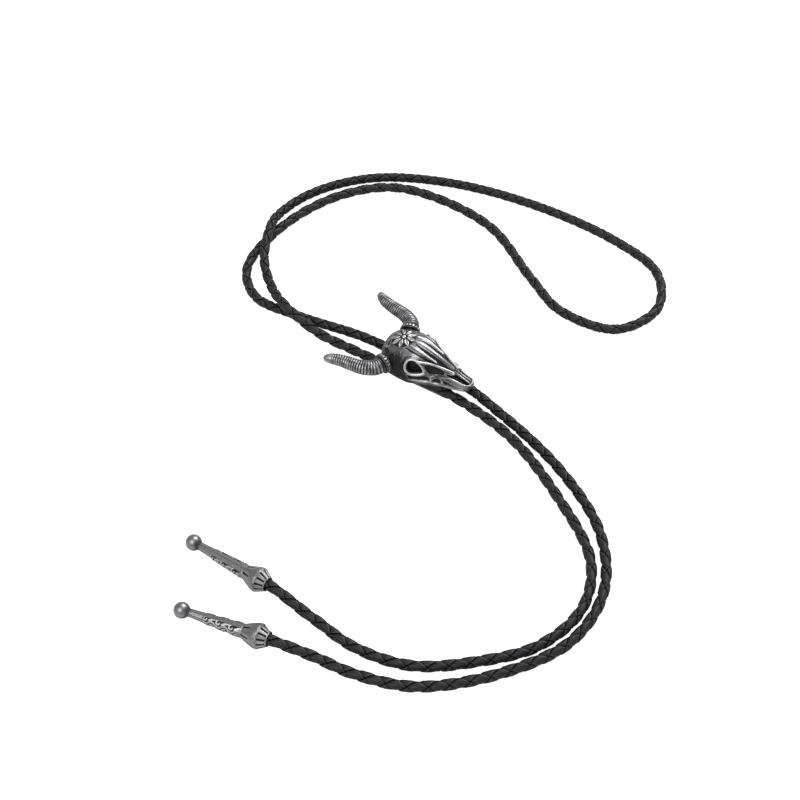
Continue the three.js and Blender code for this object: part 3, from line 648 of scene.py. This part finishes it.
def buildCollar():
    route = hornRoute()
    i = collar["row"] * horn["perSpan"]
    middle, ahead = route[i], unit(route[i + 1] - route[i - 1])
    out = unit(np.cross([0, 0, 1], ahead))
    over = np.cross(out, ahead)
    half = collar["width"] / 2
    across = np.linspace(-half, half, collar["rings"])
    angle = np.linspace(0, 2 * math.pi, collar["sides"], endpoint=False)
    rows, angles = np.meshgrid(across, angle, indexing="ij")
    share = rows / half
    # Two thin rims with a row of small raised blocks in the groove between them
    rim = ease(np.abs(share), *collar["rim"])
    beat = (angles / (2 * math.pi) * collar["blocks"]) % 1
    block = 1 - ease(np.abs(beat - 0.5), *collar["blockEdge"])
    block = block * (1 - ease(np.abs(share), *collar["blockEnd"]))
    depth = -collar["groove"] * (1 - np.maximum(rim, block)) + collar["blockHeight"] * (block - rim)
    past = np.clip((np.abs(share) - (1 - collar["round"])) / collar["round"], 0, 1)
    edge = np.sqrt(np.clip(1 - past ** 2, 0, 1))
    wide = collar["diameter"] / 2 + depth - collar["roundDepth"] * (1 - edge)
    grid = (middle + ahead * rows[..., None] + out * (wide * np.cos(angles))[..., None]
            + over * (wide * np.sin(angles))[..., None])
    wear = collarWear["base"] + collarWear["rim"] * rim + collarWear["block"] * block
    wear -= collarWear["round"] * (1 - edge)
    return grid, np.clip(wear, 0, 1)


def buildSlide():
    grids, wears = [], []
    for grid, wear in (buildSkull(), buildHorn(), buildCollar()):
        grids.append(grid)
        wears.append(wear)
        if len(grids) > 1:
            grids.append((grid * np.array([-1, 1, 1]))[:, ::-1])
            wears.append(wear[:, ::-1])
    piece = gridMesh("skull_casting", grids, {"wear": wears})
    print("string tie: skull cast,", len(piece.data.polygons), "faces")
    return piece


skullCasting = buildSlide()
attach(skullCasting, "root")
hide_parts("skull_slide")


# Tips
tipRows = {"ball": 60, "shaft": 110, "bell": 22, "bevel": 34, "socket": 4}
tipRelief = {
    "columns": 144, "facets": 12, "facetStart": 3, "facetEnd": 1, "bevelFacets": 0.3,
    "panelStart": 0.26, "panelEnd": 0.71, "panelHalf": 52, "panelEdge": 0.85, "ground": 0.12,
    "curls": 6, "stemSway": 0.45, "stemHalf": 0.3, "curlHalf": 0.26, "leafHalf": 0.34, "strokeEdge": 0.2,
    "notches": 6, "notchLength": 3.2, "notchDepth": 0.3, "notchPoint": 0.1, "notchFoot": 0.4,
}
tipWear = {"base": 0.55, "panel": 0.5, "panelTop": 0.97, "notch": 0.5, "slot": 0.75, "cavity": 0.8,
           "neck": 0.3, "neckBack": 0.2, "neckReach": 0.7, "socket": 0.05}
bellLine = [
    # along and width, as shares of the way from the shaft to the widest place
    (0, 0), (0.35, 0.46), (0.75, 0.88), (1, 1),
]
bellStart = tipAxis - tip["bellLength"]


def mix(a, b, share):
    return a + (b - a) * share


def tipProfile():
    ball = tip["ball"] / 2
    neckAngle = math.asin(tip["neck"] / tip["ball"])
    turn = np.linspace(math.pi - 0.001, neckAngle, tipRows["ball"])
    rows = [(math.sin(a) * ball, math.cos(a) * ball) for a in turn]
    y = np.linspace(rows[-1][1], bellStart, tipRows["shaft"])[1:]
    rows += [(mix(tip["neck"], tip["shaft"], (a - y[0]) / (y[-1] - y[0])) / 2, a) for a in y]
    bell = [(mix(tip["shaft"], tip["bell"], width) / 2, mix(bellStart, tipWidest, along))
            for along, width in bellLine]
    rows += [tuple(p) for p in smoothRoute(bell, tipRows["bell"])[1:]]
    inner = cord["diameter"] / 2 + tip["gap"]
    mouth = inner + tip["lip"]
    bevel = np.linspace(0, 1, tipRows["bevel"])[1:]
    rows += [(mix(tip["bell"] / 2, mouth, t), mix(tipWidest, tipAxis, t)) for t in bevel]
    # Rounded lip, then the socket's wall and floor
    rows += [(inner + 0.1, tipAxis + 0.02), (inner, tipAxis - 0.15), (inner, tipAxis - tip["socket"]),
             (0.05, tipAxis - tip["socket"])]
    return np.array(rows)


def curlStrokes(start, end, panelHalf):
    # A wavy stem with a curl and a leaf at each turn, as lines on the unrolled shaft
    step = (end - start) / tipRelief["curls"]
    reach = tip["shaft"] / 2 * panelHalf * 0.5
    t = np.linspace(0, 1, 60)
    sway = tipRelief["stemSway"] * reach * np.sin(t * tipRelief["curls"] * math.pi)
    strokes = [(np.stack([sway, start + t * (end - start)], -1), tipRelief["stemHalf"])]
    t = np.linspace(0, 1, 26)
    swirl = math.radians(200) + t * 1.3 * math.pi
    size = reach * (0.8 - 0.45 * t)
    for n in range(tipRelief["curls"]):
        flip = 1 if n % 2 == 0 else -1
        place = start + (n + 0.5) * step
        across = -flip * reach * (0.9 - size / reach * np.cos(swirl))
        spiral = np.stack([across, place + size * np.sin(swirl)], -1)
        leaf = [(flip * reach * 0.75, place - 0.42 * step), (flip * reach * 1.25, place + 0.1 * step),
                (flip * reach * 1.5, place + 0.45 * step)]
        strokes += [(spiral, tipRelief["curlHalf"]), (smoothRoute(leaf, 4), tipRelief["leafHalf"])]
    return strokes


def curlPanels(radius, along, angles):
    # Two panels, one on each side: where they are, and how high the curls stand in them
    panelHalf = math.radians(tipRelief["panelHalf"])
    start, end = tipRelief["panelStart"] * tipAxis, tipRelief["panelEnd"] * tipAxis
    inPanel = ease(along, start, start + 1.0) * (1 - ease(along, end - 2.0, end))
    fromSide = np.abs(fromSector(angles, 2))
    panel = inPanel * (1 - ease(fromSide, panelHalf * tipRelief["panelEdge"], panelHalf))
    local = np.where(np.abs(angles) < math.pi / 2, angles, (angles % (2 * math.pi)) - math.pi)
    rise = np.zeros(radius.shape)
    for line, half in curlStrokes(start, end, panelHalf):
        gap, share = lineGap(local * radius, along, line)
        rise = np.maximum(rise, 1 - ease(gap, half, half + tipRelief["strokeEdge"]))
    return panel, rise


def bellNotches(radius, along, angles):
    # Short pointed notches round the foot of the bell
    foot = tipRelief["notchFoot"]
    off = np.abs(fromSector(angles, tipRelief["notches"])) * radius
    share = np.clip((along - bellStart) / tipRelief["notchLength"], 0, 1)
    wide = 1 - ease(off, tipRelief["notchPoint"], 0.16 + 0.4 * (1 - share))
    return wide * ease(along, bellStart - foot, bellStart + foot) * (1 - ease(share, 0.8, 1))


def bevelFlutes(radius, along, angles):
    onBevel = ease(along, tipWidest + 0.25, tipWidest + 0.6) * (1 - ease(along, tipAxis - 0.6, tipAxis - 0.3))
    off = np.abs(fromSector(angles, tip["flutes"], math.pi / tipRelief["facets"])) * radius
    return onBevel * (1 - ease(off, tip["fluteWidth"] * 0.3, tip["fluteWidth"] * 0.55))


def tipSurface():
    profile = tipProfile()
    angle = np.linspace(-math.pi, math.pi, tipRelief["columns"], endpoint=False)
    shape = (len(profile), len(angle))
    radius = np.broadcast_to(profile[:, :1], shape)
    along = np.broadcast_to(profile[:, 1:], shape)
    angles = np.broadcast_to(angle, shape)
    shaftStart = tip["ball"] / 2
    outer = np.arange(len(profile))[:, None] < len(profile) - tipRows["socket"]
    # Long flat facets on the shaft, the bell and the bevel
    facets = tipRelief["facets"]
    flat = radius * (math.cos(math.pi / facets) / np.cos(fromSector(angles, facets)) - 1)
    onShaft = (ease(along, shaftStart, shaftStart + tipRelief["facetStart"])
               * (1 - ease(along, bellStart, tipWidest - tipRelief["facetEnd"])))
    depth = flat * np.maximum(onShaft, ease(along, tipWidest - tipRelief["bevelFacets"], tipWidest))
    panel, rise = curlPanels(radius, along, angles)
    notch = bellNotches(radius, along, angles)
    slot = bevelFlutes(radius, along, angles)
    depth += panel * (-tipRelief["ground"] + (tipRelief["ground"] + tip["scrollHeight"]) * rise)
    depth -= tipRelief["notchDepth"] * notch + tip["fluteDepth"] * slot
    depth = np.where(outer, depth, 0)
    cavity = depth - averaged(averaged(depth, 3, closed=True), 3, closed=True)
    neck = np.exp(-((along - shaftStart + tipWear["neckBack"]) / tipWear["neckReach"]) ** 2)
    wear = tipWear["base"] + tipWear["cavity"] * cavity
    wear += tipWear["panel"] * panel * (rise - tipWear["panelTop"])
    wear -= tipWear["notch"] * notch + tipWear["slot"] * slot + tipWear["neck"] * neck
    wear = np.where(outer, wear, tipWear["socket"])
    return radius + depth, along, angles, np.clip(wear, 0, 1)


def buildTip(name, place, surface):
    wide, along, angles, wear = surface
    ball, side, ahead, over = tipAxes(place)
    turned = angles + math.radians(place["roll"])
    grid = (ball + ahead * along[..., None] + side * (wide * np.sin(turned))[..., None]
            + over * (wide * np.cos(turned))[..., None])
    piece = gridMesh(name + "_casting", [grid], {"wear": [wear]})
    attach(piece, "root")
    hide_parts(name)
    return piece


tipForm = tipSurface()
tipCastings = [buildTip(name, place, tipForm) for name, place in tipPlaces.items()]
print("string tie: tips cast")


# Shared effects
def newGroup(name, inputs, outputs):
    group = bpy.data.node_groups.new(name, "ShaderNodeTree")
    for label, value in inputs:
        socket = group.interface.new_socket(label, in_out="INPUT", socket_type="NodeSocketFloat")
        socket.default_value = value
    for label in outputs:
        group.interface.new_socket(label, in_out="OUTPUT", socket_type="NodeSocketFloat")
    return group, group.nodes.new("NodeGroupInput"), group.nodes.new("NodeGroupOutput")


def feed(tree, value, socket):
    # A plain number is set on the socket, an output is linked to it
    if isinstance(value, (int, float)):
        socket.default_value = value
    else:
        tree.links.new(value, socket)


def addNode(tree, kind, values=None, **settings):
    node = tree.nodes.new(kind)
    for key, value in settings.items():
        setattr(node, key, value)
    for key, value in (values or {}).items():
        node.inputs[key].default_value = value
    return node


def addMath(tree, operation, a, b):
    node = addNode(tree, "ShaderNodeMath", operation=operation)
    feed(tree, a, node.inputs[0])
    feed(tree, b, node.inputs[1])
    return node.outputs[0]


def addRange(tree, value, fromMin, fromMax, toMin, toMax):
    node = addNode(tree, "ShaderNodeMapRange", interpolation_type="SMOOTHSTEP")
    amounts = {"Value": value, "From Min": fromMin, "From Max": fromMax, "To Min": toMin, "To Max": toMax}
    for key, amount in amounts.items():
        feed(tree, amount, node.inputs[key])
    return node.outputs["Result"]


def addMix(tree, share, a, b):
    node = addNode(tree, "ShaderNodeMix", data_type="RGBA")
    tree.links.new(share, node.inputs["Factor"])
    for key, colour in (("A", a), ("B", b)):
        socket = next(s for s in node.inputs if s.name == key and s.type == "RGBA")
        if isinstance(colour, tuple):
            socket.default_value = (*colour, 1.0)
        else:
            tree.links.new(colour, socket)
    return next(s for s in node.outputs if s.type == "RGBA")


def makeFineGrain():
    # Pebbled grain with broad mottling; scales are per metre
    inputs = [("Grain Scale", 3000.0), ("Mottle Scale", 300.0), ("Distortion", 0.4)]
    group, start, end = newGroup("fineGrain", inputs, ["Grain", "Mottle"])
    place = addNode(group, "ShaderNodeTexCoord")
    grain = addNode(group, "ShaderNodeTexNoise", {"Detail": 5.0, "Roughness": 0.62})
    mottle = addNode(group, "ShaderNodeTexNoise", {"Detail": 3.0, "Roughness": 0.55})
    for node, scale in ((grain, "Grain Scale"), (mottle, "Mottle Scale")):
        group.links.new(place.outputs["Object"], node.inputs["Vector"])
        group.links.new(start.outputs[scale], node.inputs["Scale"])
        group.links.new(start.outputs["Distortion"], node.inputs["Distortion"])
    group.links.new(grain.outputs[0], end.inputs["Grain"])
    group.links.new(mottle.outputs[0], end.inputs["Mottle"])
    return group


def makeWearAndShadeMask():
    # A mask broken up by the grain: rubbed wear on the silver and along the leather's fold lines, painted
    # shade where laces pass under and in their creases
    inputs = [("Wear And Shade", 0.5), ("Breakup", 0.5), ("Amount", 0.2), ("Low", 0.3), ("High", 0.8)]
    group, start, end = newGroup("wearAndShadeMask", inputs, ["Mask"])
    offset = addMath(group, "SUBTRACT", start.outputs["Breakup"], 0.5)
    shift = addMath(group, "MULTIPLY", offset, start.outputs["Amount"])
    worn = addMath(group, "ADD", start.outputs["Wear And Shade"], shift)
    mask = addRange(group, worn, start.outputs["Low"], start.outputs["High"], 0.0, 1.0)
    group.links.new(mask, end.inputs["Mask"])
    return group


fineGrain = makeFineGrain()
wearAndShadeMask = makeWearAndShadeMask()


def placeGroup(tree, group, values):
    node = tree.nodes.new("ShaderNodeGroup")
    node.node_tree = group
    for key, value in values.items():
        node.inputs[key].default_value = value
    return node


def addBump(tree, shader, height, strength, distance):
    bump = addNode(tree, "ShaderNodeBump", {"Strength": strength, "Distance": distance})
    tree.links.new(height, bump.inputs["Height"])
    tree.links.new(bump.outputs["Normal"], shader.inputs["Normal"])


def newMaterial(name):
    material = bpy.data.materials.new(name)
    material.use_nodes = True
    tree = material.node_tree
    return material, tree, tree.nodes["Principled BSDF"]


silver = {
    "patina": (0.022, 0.022, 0.024), "middle": (0.27, 0.27, 0.278), "bright": (0.76, 0.76, 0.77),
    "roughWorn": 0.38, "roughPatina": 0.52, "metallicPatina": 0.7, "brightBelow": 0.12, "brightAbove": 0.16,
}


def antiqueSilver(name, low, high):
    # Patina below the low wear, plain metal near the high wear and polished metal past it
    material, tree, shader = newMaterial(name)
    wear = addNode(tree, "ShaderNodeAttribute", attribute_name="wear")
    grain = placeGroup(tree, fineGrain, {"Grain Scale": 2600.0, "Mottle Scale": 480.0, "Distortion": 0.9})
    worn = placeGroup(tree, wearAndShadeMask, {"Amount": 0.45, "Low": low, "High": high})
    fine = placeGroup(tree, wearAndShadeMask, {"Amount": 0.3, "Low": high - silver["brightBelow"],
                                         "High": high + silver["brightAbove"]})
    for node, breakup in ((worn, "Mottle"), (fine, "Grain")):
        tree.links.new(wear.outputs["Fac"], node.inputs["Wear And Shade"])
        tree.links.new(grain.outputs[breakup], node.inputs["Breakup"])
    ground = addMix(tree, worn.outputs["Mask"], silver["patina"], silver["middle"])
    colour = addMix(tree, fine.outputs["Mask"], ground, silver["bright"])
    tree.links.new(colour, shader.inputs["Base Color"])
    tree.links.new(addRange(tree, worn.outputs["Mask"], 0, 1, silver["roughPatina"], silver["roughWorn"]),
                   shader.inputs["Roughness"])
    tree.links.new(addRange(tree, worn.outputs["Mask"], 0, 1, silver["metallicPatina"], 1.0),
                   shader.inputs["Metallic"])
    mottle = addMath(tree, "MULTIPLY", grain.outputs["Mottle"], 0.8)
    addBump(tree, shader, addMath(tree, "ADD", grain.outputs["Grain"], mottle), 0.35, 0.00008)
    return material


skullSilver = antiqueSilver("skullSilver", 0.22, 0.6)
tipSilver = antiqueSilver("tipSilver", 0.15, 0.62)
skullCasting.data.materials.append(skullSilver)
for casting in tipCastings:
    casting.data.materials.append(tipSilver)

# deep is painted shade, the colour a lace takes where it passes under its neighbours and in the creases along
# its edges
leather = {"deep": (0.002, 0.002, 0.0022), "face": (0.021, 0.021, 0.0235), "edge": (0.075, 0.075, 0.08),
           "foldStrength": 0.6}


def blackLeather():
    material, tree, shader = newMaterial("blackLeather")
    lift = addNode(tree, "ShaderNodeAttribute", attribute_name="laceLift")
    rim = addNode(tree, "ShaderNodeAttribute", attribute_name="laceEdge")
    grain = placeGroup(tree, fineGrain, {"Grain Scale": 3600.0, "Mottle Scale": 500.0, "Distortion": 0.5})
    # Painted shade where a lace dips under its neighbours, growing as its lift falls
    raised = placeGroup(tree, wearAndShadeMask, {"Amount": 0.3, "Low": -0.15, "High": 0.5})
    foldLine = placeGroup(tree, wearAndShadeMask, {"Amount": 0.12, "Low": 0.7, "High": 0.8})
    # Painted shade in the creases along each lace's edges
    creaseShade = placeGroup(tree, wearAndShadeMask, {"Amount": 0.1, "Low": 0.84, "High": 0.93})
    masks = ((raised, lift, "Mottle"), (foldLine, rim, "Grain"), (creaseShade, rim, "Grain"))
    for node, source, breakup in masks:
        tree.links.new(source.outputs["Fac"], node.inputs["Wear And Shade"])
        tree.links.new(grain.outputs[breakup], node.inputs["Breakup"])
    # The lace's own colour, darkened to painted shade where it goes under
    face = addMix(tree, raised.outputs["Mask"], leather["deep"], leather["face"])
    line = addMath(tree, "MULTIPLY", foldLine.outputs["Mask"], raised.outputs["Mask"])
    lined = addMix(tree, addMath(tree, "MULTIPLY", line, leather["foldStrength"]), face, leather["edge"])
    # Painted shade darkens the lace near its edges, where it meets its neighbours
    tree.links.new(addMix(tree, creaseShade.outputs["Mask"], lined, leather["deep"]), shader.inputs["Base Color"])
    tree.links.new(addRange(tree, grain.outputs["Grain"], 0.3, 0.7, 0.36, 0.52), shader.inputs["Roughness"])
    shader.inputs["Metallic"].default_value = 0.0
    shader.inputs["Specular IOR Level"].default_value = 0.25
    addBump(tree, shader, addMath(tree, "ADD", grain.outputs["Grain"], grain.outputs["Mottle"]), 0.5, 0.0001)
    return material


braid.data.materials.append(blackLeather())


def satinSteel():
    material, tree, shader = newMaterial("satinSteel")
    grain = placeGroup(tree, fineGrain, {"Grain Scale": 1800.0, "Mottle Scale": 260.0, "Distortion": 0.2})
    tree.links.new(addMix(tree, grain.outputs["Mottle"], (0.3, 0.3, 0.31), (0.46, 0.46, 0.47)),
                   shader.inputs["Base Color"])
    tree.links.new(addRange(tree, grain.outputs["Grain"], 0.3, 0.7, 0.3, 0.46), shader.inputs["Roughness"])
    shader.inputs["Metallic"].default_value = 1.0
    addBump(tree, shader, grain.outputs["Grain"], 0.2, 0.00005)
    return material


clipSteel = satinSteel()
clipNode = bpy.data.objects["cord_clip"]
for slot in clipNode.material_slots:
    slot.material = clipSteel
print("string tie: materials set")


# Floor and light
studio = {"floorHalf": 6.0, "floorDrop": 0.0002, "world": 0.4, "floor": 0.8, "glow": 0.88}
lights = [
    {"name": "keyLight", "place": (1.1, -0.1, 1.3), "size": (1.0, 0.9), "power": 20},
    {"name": "fillLight", "place": (-0.9, 0.1, 1.1), "size": (0.9, 0.9), "power": 8},
]


def layFloor():
    mesh = bpy.data.meshes.new("paleFloor")
    r = studio["floorHalf"]
    mesh.from_pydata([(-r, -r, 0), (r, -r, 0), (r, r, 0), (-r, r, 0)], [], [(0, 1, 2, 3)])
    floor = bpy.data.objects.new("paleFloor", mesh)
    floor.location.z = -studio["floorDrop"]
    bpy.context.collection.objects.link(floor)
    material, tree, shader = newMaterial("paleFloor")
    shader.inputs["Base Color"].default_value = (studio["floor"], studio["floor"], studio["floor"], 1)
    shader.inputs["Roughness"].default_value = 0.9
    shader.inputs["Emission Color"].default_value = (1, 1, 1, 1)
    rays = addNode(tree, "ShaderNodeLightPath")
    tree.links.new(addMath(tree, "MULTIPLY", rays.outputs["Is Camera Ray"], studio["glow"]),
                   shader.inputs["Emission Strength"])
    floor.data.materials.append(material)


def addLight(name, place, size, power):
    # Each light points at the slide
    data = bpy.data.lights.new(name, "AREA")
    data.shape = "RECTANGLE"
    data.size, data.size_y = size
    data.energy = power
    light = bpy.data.objects.new(name, data)
    light.location = place
    light.rotation_euler = (-Vector(place)).to_track_quat("-Z", "Y").to_euler()
    bpy.context.collection.objects.link(light)


def lightWorld():
    world = bpy.data.worlds.new("studioWorld")
    world.use_nodes = True
    background = world.node_tree.nodes["Background"]
    background.inputs["Color"].default_value = (1, 1, 1, 1)
    background.inputs["Strength"].default_value = studio["world"]
    bpy.context.scene.world = world


layFloor()
lightWorld()
for light in lights:
    addLight(**light)
bpy.context.scene.view_settings.view_transform = "Standard"
print("string tie: floor and lights set")
